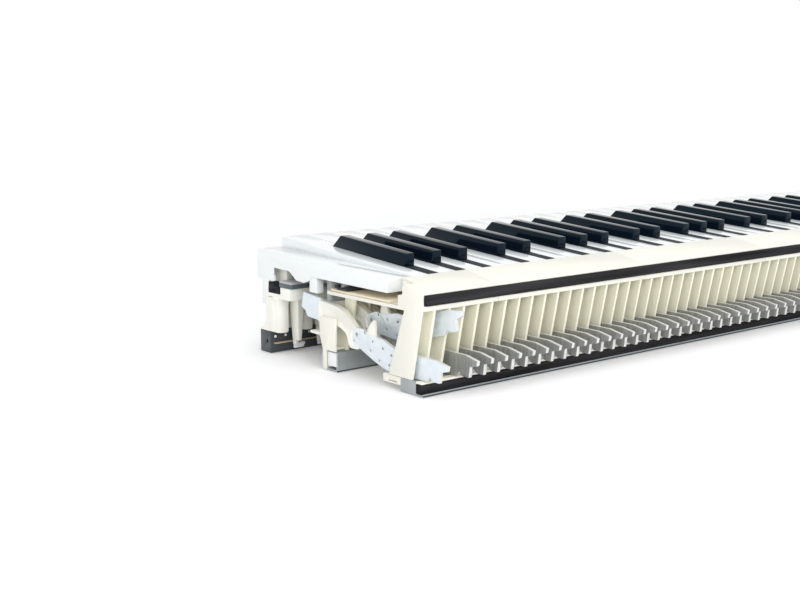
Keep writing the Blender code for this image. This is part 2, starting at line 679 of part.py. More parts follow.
def place_single_octave(white, black, steel):
    """The treble octave: each key and hammer for itself. C8 is held down, its hammer raised."""
    for number in range(KEY_COUNT - SINGLE_KEYS + 1, KEY_COUNT + 1):
        octave, step = note_of(number)
        name = f"{NOTE_NAMES[step]}{octave}"
        held = number == KEY_COUNT
        make, material = (white_key, white) if is_white(number) else (black_key, black)
        place(f"key_{name}", make(number, True), material, KEY_PIVOT,
              (KEY_TURN if held else 0.0) - KEY_TILT)
        place(f"hammer_{name}", single_hammer(hammer_x(number)), steel, HAMMER_PIVOT,
              HAMMER_SWING if held else 0.0)
    place("hammer_end", single_hammer(hammer_x(KEY_COUNT + 1)), steel, HAMMER_PIVOT)


def place_lower_octaves(white, black, steel):
    first = 1
    for octave in range(1, TOP_OCTAVE - 1):
        last = SLOTS_PER_OCTAVE * octave + 3
        numbers = range(first, last + 1)
        whites = [number for number in numbers if is_white(number)]
        blacks = [number for number in numbers if not is_white(number)]
        place(f"white_keys_octave_{octave}", white_comb(whites), white, KEY_PIVOT, -KEY_TILT)
        place(f"black_keys_octave_{octave}", black_comb(blacks), black, KEY_PIVOT, -KEY_TILT)
        place(f"hammers_octave_{octave}", hammer_bank(numbers), steel, HAMMER_PIVOT)
        first = last + 1


def place_felts(black_felt, cream_felt, grey_felt):
    floor = FLOOR_Z + RAIL_THICK + SEAT_GAP
    cushion_foot = CUSHION_TOP - CUSHION_THICK
    stop_y = (STOP_RAIL_Y[0] + STOP_FELT_EDGE, STOP_RAIL_Y[1] - STOP_FELT_EDGE)
    place("lower_stop_felt", box(FULL_WIDTH, LOWER_FELT_Y, (floor, cushion_foot - SEAT_GAP)),
          black_felt)
    place("lower_cushion", box(FULL_WIDTH, LOWER_FELT_Y, (cushion_foot, CUSHION_TOP)), cream_felt)
    place("upper_stop_felt", upper_felt(), black_felt)
    place("key_stop_felt", box(FULL_WIDTH, stop_y, (STOP_RAIL_Z[1] + SEAT_GAP, STOP_FELT_TOP)),
          grey_felt)


def place_sensor_board(board, rubber):
    board_z = WEB_TOP_Z + SEAT_GAP
    strip_z = board_z + BOARD_THICK + SEAT_GAP
    place("sensor_board", box(FULL_WIDTH, BOARD_Y, (board_z, board_z + BOARD_THICK)), board)
    place("contact_strip", box(FULL_WIDTH, CONTACT_Y, (strip_z, strip_z + CONTACT_HEIGHT)), rubber)


def build():
    for item in list(bpy.data.objects):
        bpy.data.objects.remove(item)
    ivory = make_material("ivory_moulding", (0.86, 0.82, 0.68), 0.45)
    white = make_material("white_key", (0.9, 0.9, 0.88), 0.15)
    black = make_material("black_key", (0.01, 0.01, 0.012), 0.2)
    hammer_steel = make_material("hammer_steel", (0.62, 0.64, 0.66), 0.3, 1.0)
    dark_steel = make_material("dark_steel", (0.08, 0.09, 0.1), 0.4, 0.6)
    zinc = make_material("zinc_rail", (0.5, 0.52, 0.53), 0.35, 1.0)
    black_felt = make_material("black_felt", (0.015, 0.015, 0.017), 0.95)
    cream_felt = make_material("cream_felt", (0.85, 0.82, 0.7), 0.95)
    grey_felt = make_material("grey_felt", (0.45, 0.47, 0.48), 0.95)
    board = make_material("sensor_board", (0.62, 0.42, 0.22), 0.5)
    rubber = make_material("contact_rubber", (0.03, 0.03, 0.03), 0.8)

    place_single_octave(white, black, hammer_steel)
    place_lower_octaves(white, black, hammer_steel)
    place("chassis", chassis(), ivory)
    place("front_guide_frame", front_guide_frame(), ivory)
    place("front_rail", front_rail(), dark_steel)
    place("middle_rail", rail_channel(MIDDLE_RAIL_Y, MIDDLE_RAIL_TOP, MIDDLE_RAIL_SLOT), zinc)
    place("rear_rail", rear_rail(), zinc)
    place_felts(black_felt, cream_felt, grey_felt)
    place("key_stop_rail", box(FULL_WIDTH, STOP_RAIL_Y, STOP_RAIL_Z), dark_steel)
    place_sensor_board(board, rubber)
    treble_end = treble_hanger_x() + HANGER_THICK / 2
    place("key_hinge_shaft",
          rod(KEY_PIVOT_Y, KEY_PIVOT_Z, KEY_SHAFT_R, FULL_WIDTH[0], treble_end), zinc)
    shaft_end = rib_x(SINGLE_KEYS) + SEAT_GAP / 2
    place("hammer_shaft", rod(HAMMER_PIVOT_Y, HAMMER_PIVOT_Z, HAMMER_SHAFT_R, shaft_end, 0.0), zinc)


build()
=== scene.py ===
from math import asin, cos, pi, radians, sin, tan

import bmesh
import bpy
from mathutils import Matrix, Vector


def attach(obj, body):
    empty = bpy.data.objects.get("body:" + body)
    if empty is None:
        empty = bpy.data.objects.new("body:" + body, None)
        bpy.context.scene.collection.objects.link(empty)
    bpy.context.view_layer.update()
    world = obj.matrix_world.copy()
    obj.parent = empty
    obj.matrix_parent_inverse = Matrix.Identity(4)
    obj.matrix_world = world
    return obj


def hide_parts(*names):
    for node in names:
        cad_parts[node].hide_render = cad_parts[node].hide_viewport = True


# Lengths are millimetres in the drawing of the part: X from the treble end (0) to the bass
# (negative), Y from the player to the rear, Z up. ORIGIN is the row frame's origin there.
MM = 0.001
ORIGIN = Vector((-611.0, -27.32, -90.0))

OCTAVE = 164.5
WHITE_KEYS = 52
KEY_COUNT = 88
SINGLE_KEYS = 13
TREBLE_KEYS = range(KEY_COUNT - SINGLE_KEYS + 1, KEY_COUNT + 1)
TOP_OCTAVE = 8
NOTES = 12
NOTE_SHIFT = 8
WHITE_PITCH = OCTAVE / 7
SLOT_PITCH = OCTAVE / NOTES
LENGTH = WHITE_KEYS * WHITE_PITCH
FULL = (-LENGTH, 0.0)
KEY_GAP = 1.0
TAIL_GAP = 0.75
SEAT_GAP = 0.3

KEY_PIVOT = (0.0, 36.0, -18.0)
HAMMER_PIVOT = (0.0, -47.5, -54.0)
KEY_TILT = radians(4.5)
KEY_FRONT = 177.5
KEY_TURN = asin(8.0 / KEY_FRONT)
HAMMER_SWING = radians(15.5)
FIRST_HAMMER_X = -18.2

KEY_TOP = 5.5
KEY_UNDERSIDE = -7.0
KEY_UNDERSIDE_REAR = -4.6
KEY_REAR = 9.5
KEY_WALL = 1.6
KEY_TOP_WALL = 2.0
NECK = -KEY_FRONT + 48.5
SKIRT_FOOT = -18.3
TAB_FOOT = -38.6
TAB_THICK = 2.4
TAB_Y = (-170.5, -161.0)
SKIRT_REAR = -KEY_FRONT + 23.4
STOP_LUG = [(-132.0, 0.0), (-122.3, -5.9), (-112.4, -6.1), (-105.8, -3.7), (-102.0, 0.0)]
BLACK_WIDTH = 9.7
BLACK_BODY_TOP = 5.5
BLACK_CAP_FOOT = 3.6
BLACK_BODY_FRONT = 126.0
BLACK_CAP_REAR = 37.3
BLACK_CAP_TOP = 15.1
BLACK_CAP_FLAT = 81.0
BLACK_CAP_SLOPE = 9.2
BLACK_CAP_HALF = 5.0
BLACK_CAP_HALF_TOP = 4.3
TAIL_REST = -25.2
SHAFT_SEAT = 1.8
KEY_SHAFT_RADIUS = 1.5
HAMMER_SHAFT_RADIUS = 1.6
PUSHER_Y = (-103.0, -98.0)
PUSHER_FOOT_Z = -36.6
PUSHER_HALF = 1.7
# Nearest to the treble end that a key's clip reaches
CLIP_END = -12.4
# Block under the last key, as X, Y and Z spans
END_BLOCK = ((-8.0, -1.5), (-105.7, -96.0), (-18.9, -6.0))

BLACK_PLACES = {1: 0.9, 3: 2.1, 6: 3.857, 8: 5.0, 10: 6.143}
WHITE_PLACES = {0: 0, 2: 1, 4: 2, 5: 3, 7: 4, 9: 5, 11: 6}
NOTE_NAMES = ("c", "c_sharp", "d", "d_sharp", "e", "f", "f_sharp", "g", "g_sharp", "a",
              "a_sharp", "b")

# Hammer outlines of (y, z) points, counted from the hammer shaft: the steel tail, the plate
# that a pusher presses, the moulded arm and its stop spike
TAIL_PLATE = [(20.0, -3.0), (28.0, -14.0), (38.9, -14.2), (53.8, -20.1), (64.2, -23.6),
              (71.5, TAIL_REST), (114.5, TAIL_REST), (117.5, TAIL_REST + 3.7),
              (120.0, TAIL_REST + 1.0), (127.0, TAIL_REST + 1.0), (128.0, -16.5), (134.7, -14.8),
              (135.5, -11.2), (123.5, -8.8), (95.5, -8.5), (80.5, -8.4), (74.5, -6.5), (66.0, -3.6),
              (59.0, -2.8), (48.1, -1.5), (42.0, 1.0), (31.0, 0.5), (22.0, 4.0)]
BLADE = [(-32.6, 19.5), (-35.5, 8.0), (-35.2, 6.9), (-30.4, 5.0), (-28.4, 1.6), (-26.9, 0.4),
         (-12.6, -0.5), (-8.0, -3.0), (-6.0, 12.0), (-10.7, 17.0)]
ARM = [(-11.4, 8.0), (-11.2, -0.8), (-5.0, -6.2), (-SHAFT_SEAT, -6.2), (-SHAFT_SEAT, SHAFT_SEAT),
       (SHAFT_SEAT, SHAFT_SEAT), (SHAFT_SEAT, -6.4), (5.5, -6.5), (8.0, -1.0), (10.4, 0.4),
       (23.0, -4.2), (25.3, -7.3), (26.6, -12.8), (30.0, -15.0), (37.0, -15.0), (36.5, -13.2),
       (31.0, -12.6), (29.4, -7.5), (29.6, -3.0), (33.5, 0.4), (31.5, 2.3), (26.0, 7.2),
       (19.5, 11.3), (9.5, 14.0), (-9.8, 15.6)]
SPIKE = [(46.8, -2.5), (56.6, -3.4), (56.0, 1.3), (55.7, 8.6), (55.0, 9.3), (54.2, 9.1),
         (50.2, 5.6), (47.4, 1.3)]
SPIKE_THICK = 2.6
# (y, z, radius)
PLATE_HOLES = [(34.7, -4.3, 1.6), (44.4, -1.6, 1.0), (31.4, -9.1, 0.9), (53.9, -6.6, 0.9),
               (65.5, -9.8, 1.2), (51.2, -13.6, 0.9), (75.3, -13.3, 1.0), (61.6, -19.3, 0.9),
               (72.9, -20.8, 1.0), (76.5, -21.8, 0.7)]
PLATE_THICK = 2.8
ARM_THICK = 5.8

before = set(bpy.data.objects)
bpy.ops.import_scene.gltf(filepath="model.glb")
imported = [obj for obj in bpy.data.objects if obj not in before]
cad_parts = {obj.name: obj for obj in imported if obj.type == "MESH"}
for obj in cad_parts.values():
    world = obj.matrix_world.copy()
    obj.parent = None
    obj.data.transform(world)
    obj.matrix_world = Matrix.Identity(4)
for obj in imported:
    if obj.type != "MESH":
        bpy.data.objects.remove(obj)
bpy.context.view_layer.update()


# Materials


def shader_of(name):
    material = bpy.data.materials.new(name)
    material.use_nodes = True
    return material, material.node_tree.nodes, material.node_tree.links


def surface(name, colour, other, roughness, metallic=0.0, cloud=40.0, grain=900.0, bump=0.05,
            stretch=(1.0, 1.0, 1.0), coat=0.0, sheen=0.0, spread=0.06, distance=0.0002,
            specular=0.5, tint=(1.0, 1.0, 1.0)):
    """A material whose colour, roughness and relief vary by noise in the object's own space."""
    material, nodes, links = shader_of(name)
    shader = nodes["Principled BSDF"]
    shader.inputs["Metallic"].default_value = metallic
    shader.inputs["Coat Weight"].default_value = coat
    shader.inputs["Coat Roughness"].default_value = 0.04
    shader.inputs["Sheen Weight"].default_value = sheen
    shader.inputs["Specular IOR Level"].default_value = specular
    shader.inputs["Specular Tint"].default_value = (*tint, 1.0)
    place = nodes.new("ShaderNodeTexCoord")
    mapping = nodes.new("ShaderNodeMapping")
    mapping.inputs["Scale"].default_value = stretch
    links.new(place.outputs["Object"], mapping.inputs["Vector"])
    large = nodes.new("ShaderNodeTexNoise")
    large.inputs["Scale"].default_value = cloud
    large.inputs["Detail"].default_value = 4.0
    fine = nodes.new("ShaderNodeTexNoise")
    fine.inputs["Scale"].default_value = grain
    fine.inputs["Detail"].default_value = 3.0
    for noise in (large, fine):
        links.new(mapping.outputs["Vector"], noise.inputs["Vector"])
    ramp = nodes.new("ShaderNodeValToRGB")
    ramp.color_ramp.elements[0].position = 0.3
    ramp.color_ramp.elements[0].color = (*other, 1.0)
    ramp.color_ramp.elements[1].position = 0.7
    ramp.color_ramp.elements[1].color = (*colour, 1.0)
    links.new(large.outputs["Fac"], ramp.inputs["Fac"])
    links.new(ramp.outputs["Color"], shader.inputs["Base Color"])
    rough = nodes.new("ShaderNodeMapRange")
    rough.inputs["To Min"].default_value = max(roughness - spread, 0.02)
    rough.inputs["To Max"].default_value = min(roughness + spread, 1.0)
    links.new(fine.outputs["Fac"], rough.inputs["Value"])
    links.new(rough.outputs["Result"], shader.inputs["Roughness"])
    relief = nodes.new("ShaderNodeBump")
    relief.inputs["Strength"].default_value = bump
    relief.inputs["Distance"].default_value = distance
    links.new(fine.outputs["Fac"], relief.inputs["Height"])
    links.new(relief.outputs["Normal"], shader.inputs["Normal"])
    return material


IVORY = surface("ivory_moulding", (0.90, 0.885, 0.80), (0.89, 0.87, 0.78), 0.42, bump=0.04)
# The ribs' warmer, brighter ivory is painted glow of light shining through the thin ribs and
# bouncing between them.
RIB_IVORY_PAINTED_GLOW = surface("ivory_ribs_painted_glow", (0.96, 0.935, 0.77), (0.945, 0.915, 0.745), 0.42, bump=0.04)
COLUMN_IVORY = surface("cream_moulding", (0.93, 0.925, 0.85), (0.92, 0.91, 0.83), 0.4, bump=0.04)
WHITE = surface("white_key", (0.875, 0.91, 0.91), (0.865, 0.90, 0.905), 0.16, cloud=12.0, bump=0.01,
                coat=0.5, spread=0.03)
BLACK_CAP = surface("black_key", (0.004, 0.008, 0.015), (0.003, 0.006, 0.012), 0.07, cloud=14.0,
                    bump=0.005, spread=0.02, specular=0.17, tint=(0.55, 0.85, 1.0))
BLACK_BODY = surface("black_key_body", (0.02, 0.024, 0.03), (0.014, 0.017, 0.022), 0.5, bump=0.05,
                     specular=0.12)
# Two copies of the one hammer steel. The pale one is painted light, for hammers that stand in the
# light. The grey one is painted shade, for hammers between the ribs, and its streaks are its grain.
STEEL_PAINTED_LIT = surface("hammer_steel_painted_lit", (0.80, 0.86, 0.90), (0.73, 0.80, 0.85), 0.36,
                     metallic=0.3, cloud=160.0, grain=1400.0, bump=0.04)
STEEL_PAINTED_SHADE = surface("hammer_steel_painted_shade", (0.43, 0.435, 0.42), (0.28, 0.285, 0.275), 0.4,
                     metallic=0.4, cloud=160.0, grain=1400.0, bump=0.05, stretch=(1.0, 2.5, 0.25))
# Pale steel for the plates' rims and hole walls: a painted highlight of their lit edges.
STEEL_EDGE_HIGHLIGHT = surface("hammer_steel_edge_painted_highlight", (0.82, 0.83, 0.81), (0.70, 0.71, 0.69), 0.35,
                     metallic=0.3, cloud=300.0, bump=0.03)
# Dark steel of the front rail. The same colour serves the strips of painted shadow along the rails'
# feet.
DARK_STEEL_AND_SHADOW = surface("dark_steel", (0.065, 0.076, 0.085), (0.05, 0.06, 0.068), 0.4, metallic=0.3,
                     cloud=60.0, bump=0.05)
TEAL_STEEL = surface("stop_rail_steel", (0.105, 0.13, 0.14), (0.085, 0.11, 0.12), 0.4, metallic=0.3,
                     cloud=60.0, bump=0.05)
ZINC = surface("zinc_steel", (0.42, 0.45, 0.46), (0.36, 0.39, 0.40), 0.38, metallic=0.5, cloud=90.0,
               grain=1200.0, bump=0.04)
# Black felt of the stop felts. The same colour serves a block of painted shadow at the guide
# frame's treble end.
BLACK_FELT_AND_SHADOW = surface("black_felt", (0.048, 0.047, 0.050), (0.006, 0.006, 0.007), 0.95, cloud=130.0,
                     grain=700.0, bump=0.7, stretch=(0.05, 1.0, 1.6), sheen=0.01, distance=0.0007,
                     specular=0.08)
CREAM_FELT = surface("cream_felt", (0.92, 0.90, 0.80), (0.86, 0.84, 0.73), 0.95, cloud=120.0,
                     grain=1500.0, bump=0.5, sheen=0.15, distance=0.0005)
GREY_FELT = surface("grey_felt", (0.50, 0.50, 0.52), (0.44, 0.44, 0.46), 0.95, cloud=120.0,
                    grain=1500.0, bump=0.5, sheen=0.15, distance=0.0005)
BOARD = surface("circuit_board", (0.85, 0.75, 0.56), (0.81, 0.70, 0.50), 0.45, cloud=30.0,
                bump=0.03)
RUBBER = surface("contact_rubber", (0.035, 0.035, 0.037), (0.028, 0.028, 0.03), 0.7, bump=0.08)
WHITE_PAINT = surface("white_clip", (0.92, 0.935, 0.935), (0.89, 0.905, 0.905), 0.35, bump=0.03)
# Light tan for the front rail's ledge: a painted highlight of its lit edge.
LEDGE_PAINTED_HIGHLIGHT = surface("ledge_painted_highlight", (0.56, 0.42, 0.27), (0.50, 0.37, 0.23), 0.9, bump=0.3)


# Mesh helpers


def prism(outline, low, high):
    """A closed outline of (y, z) points, extruded along X."""
    bm = bmesh.new()
    ring = [bm.verts.new((low, y, z)) for y, z in outline]
    face = bm.faces.new(ring)
    moved = [item for item in bmesh.ops.extrude_face_region(bm, geom=[face])["geom"]
             if isinstance(item, bmesh.types.BMVert)]
    bmesh.ops.translate(bm, verts=moved, vec=(high - low, 0, 0))
    bmesh.ops.recalc_face_normals(bm, faces=bm.faces)
    return bm


def box(x, y, z):
    return prism([(y[0], z[0]), (y[1], z[0]), (y[1], z[1]), (y[0], z[1])], *x)


def both_ends(thick):
    """The X spans of a thin wall at each end of the row."""
    return (FULL[0], FULL[0] + thick), (FULL[1] - thick, FULL[1])


def stack(rings):
    """A closed solid through rings of as many points."""
    bm = bmesh.new()
    loops = [[bm.verts.new(point) for point in ring] for ring in rings]
    bm.faces.new(loops[0])
    bm.faces.new(loops[-1])
    count = len(loops[0])
    for low, high in zip(loops, loops[1:]):
        for index in range(count):
            after = (index + 1) % count
            bm.faces.new((low[index], low[after], high[after], high[index]))
    bmesh.ops.recalc_face_normals(bm, faces=bm.faces)
    return bm


def circle(first, second, radius, sides):
    """Points on a circle about (first, second)."""
    turns = [2 * pi * step / sides for step in range(sides)]
    return [(first + radius * cos(turn), second + radius * sin(turn)) for turn in turns]


def turned(x, y, profile, sides=24):
    """A solid of revolution about a vertical axis, through (radius, z) points."""
    return stack([[(*point, z) for point in circle(x, y, radius, sides)] for radius, z in profile])


def rod(y, z, radius, low, high, sides=20):
    """A round bar along X."""
    return stack([[(x, *point) for point in circle(y, z, radius, sides)] for x in (low, high)])


def join(pieces):
    """One mesh of several, which are used up."""
    whole = bmesh.new()
    for piece in pieces:
        mesh = bpy.data.meshes.new("joined")
        piece.to_mesh(mesh)
        piece.free()
        whole.from_mesh(mesh)
        bpy.data.meshes.remove(mesh)
    return whole


def combine(first, second, operation):
    """Boolean of two closed meshes, which are used up."""
    helpers = []
    for bm in (first, second):
        mesh = bpy.data.meshes.new("helper")
        bm.to_mesh(mesh)
        bm.free()
        helper = bpy.data.objects.new("helper", mesh)
        bpy.context.scene.collection.objects.link(helper)
        helpers.append(helper)
    modifier = helpers[0].modifiers.new("cut", "BOOLEAN")
    modifier.operation = operation
    modifier.object = helpers[1]
    graph = bpy.context.evaluated_depsgraph_get()
    result = bpy.data.meshes.new_from_object(helpers[0].evaluated_get(graph))
    bm = bmesh.new()
    bm.from_mesh(result)
    bpy.data.meshes.remove(result)
    for helper in helpers:
        mesh = helper.data
        bpy.data.objects.remove(helper)
        bpy.data.meshes.remove(mesh)
    bmesh.ops.dissolve_limit(bm, angle_limit=radians(0.1), verts=bm.verts, edges=bm.edges)
    return bm


def fuse(first, *others):
    for other in others:
        first = combine(first, other, "UNION")
    return first


def cut(first, second):
    return combine(first, second, "DIFFERENCE")


def painted(bm, index):
    """Gives every face of a piece one of its object's materials."""
    for face in bm.faces:
        face.material_index = index
    return bm


def rounded(bm, width, segments=2, angle=35.0):
    """Rounds every edge sharper than angle."""
    edges = [edge for edge in bm.edges
             if len(edge.link_faces) == 2 and edge.calc_face_angle(0.0) > radians(angle)]
    bmesh.ops.bevel(bm, geom=edges, offset=width, segments=segments, profile=0.5,
                    affect="EDGES", clamp_overlap=True)
    return bm


def shaded(bm, angle=38.0):
    """Smooth shading that breaks at the edges that are still sharp."""
    for face in bm.faces:
        face.smooth = True
    for edge in bm.edges:
        edge.smooth = len(edge.link_faces) == 2 and edge.calc_face_angle(0.0) < radians(angle)
    return bm


def as_mesh(bm):
    mesh = bpy.data.meshes.new("template")
    shaded(bm).to_mesh(mesh)
    bm.free()
    return mesh


def place_in_row(pivot=(0.0, 0.0, 0.0), turn=0.0, x=0.0):
    """From a piece's own drawing, counted from its pivot, to the row frame in metres."""
    return (Matrix.Scale(MM, 4) @ Matrix.Translation(Vector(pivot) - ORIGIN)
            @ Matrix.Rotation(turn, 4, "X") @ Matrix.Translation((x, 0.0, 0.0)))


def stamp(whole, mesh, matrix):
    """Adds a copy of a template to a mesh."""
    start = len(whole.verts)
    whole.from_mesh(mesh)
    whole.verts.ensure_lookup_table()
    bmesh.ops.transform(whole, matrix=matrix, verts=whole.verts[start:])


def add(name, bm, materials, body, replaces=()):
    """Makes the object of a mesh that lies in the row frame, and lets it ride on its body."""
    mesh = bpy.data.meshes.new(name)
    bm.to_mesh(mesh)
    bm.free()
    for material in materials:
        mesh.materials.append(material)
    item = bpy.data.objects.new(name, mesh)
    bpy.context.scene.collection.objects.link(item)
    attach(item, body)
    if replaces:
        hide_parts(*replaces)
    return item


def add_static(name, bm, materials, replaces=(), bevel=0.4):
    """Adds a piece that stays on the frame, drawn in the part's own millimetres."""
    if bevel:
        rounded(bm, bevel)
    shaded(bm)
    bmesh.ops.transform(bm, matrix=place_in_row(), verts=bm.verts)
    materials = materials if isinstance(materials, list) else [materials]
    return add(name, bm, materials, "frame", replaces)


# Places of keys and hammers


def note_of(number):
    """Octave of a key and its step there, 0 for c to 11 for b. Key 1 is the lowest a."""
    return divmod(number + NOTE_SHIFT, NOTES)


def key_number(octave, step):
    return NOTES * octave + step - NOTE_SHIFT


def is_white(number):
    return note_of(number)[1] in WHITE_PLACES


def octave_left(octave):
    return -WHITE_PITCH - (TOP_OCTAVE - octave) * OCTAVE


def head_span(number):
    octave, step = note_of(number)
    left = octave_left(octave) + WHITE_PLACES[step] * WHITE_PITCH
    return left + KEY_GAP / 2, left + WHITE_PITCH - KEY_GAP / 2


def black_middle(number):
    octave, step = note_of(number)
    return octave_left(octave) + BLACK_PLACES[step] * WHITE_PITCH


def tail_span(number):
    half = BLACK_WIDTH / 2
    if not is_white(number):
        middle = black_middle(number)
        return middle - half, middle + half
    low, high = head_span(number)
    if number > 1 and not is_white(number - 1):
        low = black_middle(number - 1) + half + TAIL_GAP
    if number < KEY_COUNT and not is_white(number + 1):
        high = black_middle(number + 1) - half - TAIL_GAP
    return low, high


def hammer_x(number):
    return FIRST_HAMMER_X - SLOT_PITCH * (KEY_COUNT - number)


def rib_x(index):
    return FIRST_HAMMER_X + SLOT_PITCH * (0.5 - index)


# Keys


def pusher(number):
    """The leg that presses the hammer. Its foot is level when the key is at rest."""
    foot = (PUSHER_FOOT_Z - KEY_PIVOT[2]) / cos(KEY_TILT)
    lean = tan(KEY_TILT)
    front, rear = PUSHER_Y
    outline = [(front, foot + front * lean), (rear, foot + rear * lean), (rear + 1.0, 3.0),
               (front - 1.0, 3.0)]
    x = hammer_x(number)
    return rounded(prism(outline, x - PUSHER_HALF, x + PUSHER_HALF), 0.4)


def clip_tongue(span):
    """The tongue at a key's rear end, which sits over the hinge shaft."""
    outline = [(-10.5, 2.9), (-10.5, -4.5), (-SHAFT_SEAT, -4.5), (-SHAFT_SEAT, SHAFT_SEAT),
               (SHAFT_SEAT, SHAFT_SEAT), (SHAFT_SEAT, -4.5), (3.3, -4.5), (3.3, 2.9)]
    return rounded(prism(outline, span[0] + 1.0, min(span[1], CLIP_END) - 1.0), 0.3)


def white_key_mesh(number):
    """Hollow moulding: head with skirt and guide tab, tail with the stop lug, pusher and clip."""
    head = head_span(number)
    tail = tail_span(number)
    head_outline = [(-KEY_FRONT, KEY_TOP), (-KEY_FRONT, SKIRT_FOOT), (SKIRT_REAR, SKIRT_FOOT),
                    (SKIRT_REAR, KEY_UNDERSIDE), (NECK, KEY_UNDERSIDE), (NECK, KEY_TOP)]
    start = NECK - KEY_WALL
    lug = [(y, KEY_UNDERSIDE + z) for y, z in STOP_LUG]
    tail_outline = ([(start, KEY_TOP), (start, KEY_UNDERSIDE)] + lug
                    + [(-KEY_REAR, KEY_UNDERSIDE_REAR), (-KEY_REAR, KEY_TOP)])
    body = fuse(prism(head_outline, *head), prism(tail_outline, *tail))
    hollow = (SKIRT_FOOT - 1.0, KEY_TOP - KEY_TOP_WALL)
    head_pocket = box((head[0] + KEY_WALL, head[1] - KEY_WALL),
                      (-KEY_FRONT + KEY_WALL, NECK - KEY_WALL), hollow)
    tail_pocket = box((tail[0] + KEY_WALL, tail[1] - KEY_WALL),
                      (NECK + KEY_WALL, -KEY_REAR - KEY_WALL), hollow)
    body = rounded(cut(body, join([head_pocket, tail_pocket])), 0.7, 3)
    front, rear = TAB_Y
    tab = rounded(prism([(front, 2.0), (front, TAB_FOOT), (rear, TAB_FOOT), (rear, 2.0)],
                        head[1] - TAB_THICK, head[1] - 0.05), 0.4)
    pieces = [body, tab, pusher(number), clip_tongue(tail)]
    if number == KEY_COUNT:
        pieces.append(rounded(box(*END_BLOCK), 0.5))
    return as_mesh(join(pieces))


def black_cap_mesh(number):
    """The tapered cap with its rounded top."""
    middle = black_middle(number)
    front = -BLACK_CAP_REAR - BLACK_CAP_FLAT - BLACK_CAP_SLOPE

    def ring(half, start, height):
        corners = [(-half, start), (half, start), (half, -BLACK_CAP_REAR), (-half, -BLACK_CAP_REAR)]
        return [(middle + x, y, height) for x, y in corners]

    cap = stack([ring(BLACK_CAP_HALF, front, BLACK_CAP_FOOT),
                 ring(BLACK_CAP_HALF, front, BLACK_CAP_FOOT + 1.2),
                 ring(BLACK_CAP_HALF_TOP, front + BLACK_CAP_SLOPE, BLACK_CAP_TOP)])
    return as_mesh(rounded(cap, 0.9, 3, 25.0))


def black_body_mesh(number):
    """The hollow body under a cap, with pusher and clip."""
    span = tail_span(number)
    rear = -KEY_REAR - 1.0
    body = box(span, (-BLACK_BODY_FRONT, rear), (KEY_UNDERSIDE, BLACK_BODY_TOP))
    pocket = box((span[0] + KEY_WALL, span[1] - KEY_WALL),
                 (-BLACK_BODY_FRONT + KEY_WALL, rear - KEY_WALL),
                 (KEY_UNDERSIDE - 1.0, BLACK_BODY_TOP - KEY_TOP_WALL))
    body = rounded(cut(body, pocket), 0.5)
    return as_mesh(join([body, pusher(number), clip_tongue(span)]))


def key_templates(maker, numbers):
    return {number: maker(number) for number in numbers}


def reference(number, table):
    """The key that a template was drawn for, and how far that one lies to the treble."""
    if number in table:
        return number, 0.0
    octave, step = note_of(number)
    return key_number(TOP_OCTAVE - 1, step), -(TOP_OCTAVE - 1 - octave) * OCTAVE


NATURALS = [1] + [number for number in TREBLE_KEYS if is_white(number)]
SHARPS = [number for number in TREBLE_KEYS if not is_white(number)]
WHITE_MESHES = key_templates(white_key_mesh, NATURALS)
CAP_MESHES = key_templates(black_cap_mesh, SHARPS)
BODY_MESHES = key_templates(black_body_mesh, SHARPS)


def stamp_keys(numbers, table, turn):
    whole = bmesh.new()
    for number in numbers:
        source, shift = reference(number, table)
        stamp(whole, table[source], place_in_row(KEY_PIVOT, turn, shift))
    return whole


def joined_keys(numbers, table, y, z):
    """Keys at rest with the strip that joins them behind their tails."""
    strip = box((tail_span(numbers[0])[0] + 2.0, tail_span(numbers[-1])[1] - 2.0), y, z)
    keys = stamp_keys(numbers, table, -KEY_TILT)
    stamp(keys, as_mesh(rounded(strip, 0.3)), place_in_row(KEY_PIVOT, -KEY_TILT))
    return keys


# Hammers


def recessed(bm, rim, depth):
    """Sinks the two side faces of a plate inside a raised rim."""
    sides = [face for face in bm.faces if abs(face.normal.x) > 0.9]
    bmesh.ops.inset_individual(bm, faces=sides, thickness=rim, depth=0.0)
    inner = [face for face in sides if face.is_valid]
    for face in inner:
        bmesh.ops.translate(bm, verts=face.verts, vec=face.normal * -depth)
    return bm


def plate_mesh():
    """Steel weight plate with its punched holes, and the plate that the pusher presses."""
    half = PLATE_THICK / 2
    tail = prism(TAIL_PLATE, -half, half)
    holes = [rod(y, z, radius, -half - 1.0, half + 1.0, 12) for y, z, radius in PLATE_HOLES]
    tail = rounded(cut(tail, join(holes)), 0.3, angle=40.0)
    blade = rounded(prism(BLADE, -half - 0.4, half + 0.4), 0.6, 3)
    bm = join([tail, blade])
    # Faces across the plate get its steel. Rims, hole walls and the blade's edges get the pale edge
    # steel, which is a painted highlight.
    for face in bm.faces:
        face.normal_update()
        face.material_index = 0 if abs(face.normal.x) > 0.6 else 1
    return as_mesh(bm)


def arm_mesh():
    """Moulded arm that clips on the shaft, with a sunk panel in each side and the stop spike."""
    half = ARM_THICK / 2
    arm = rounded(recessed(prism(ARM, -half, half), 1.1, 0.6), 0.3, angle=40.0)
    spike = rounded(prism(SPIKE, -SPIKE_THICK / 2, SPIKE_THICK / 2), 0.5)
    return as_mesh(join([arm, spike]))


PLATE = plate_mesh()
ARM_TEMPLATE = arm_mesh()


def stamp_hammers(places, template, turn):
    whole = bmesh.new()
    for x in places:
        stamp(whole, template, place_in_row(HAMMER_PIVOT, turn, x))
    return whole


def add_hammers(tag, body, node, places, turn, steel):
    """A bank of hammers, or one: the steel plates, and the arms that stand for the CAD node."""
    add(f"{tag}_plate", stamp_hammers(places, PLATE, turn), [steel, STEEL_EDGE_HIGHLIGHT], body)
    add(f"{tag}_arm", stamp_hammers(places, ARM_TEMPLATE, turn), [COLUMN_IVORY], body,
        [node])


# The treble octave and the lower ones

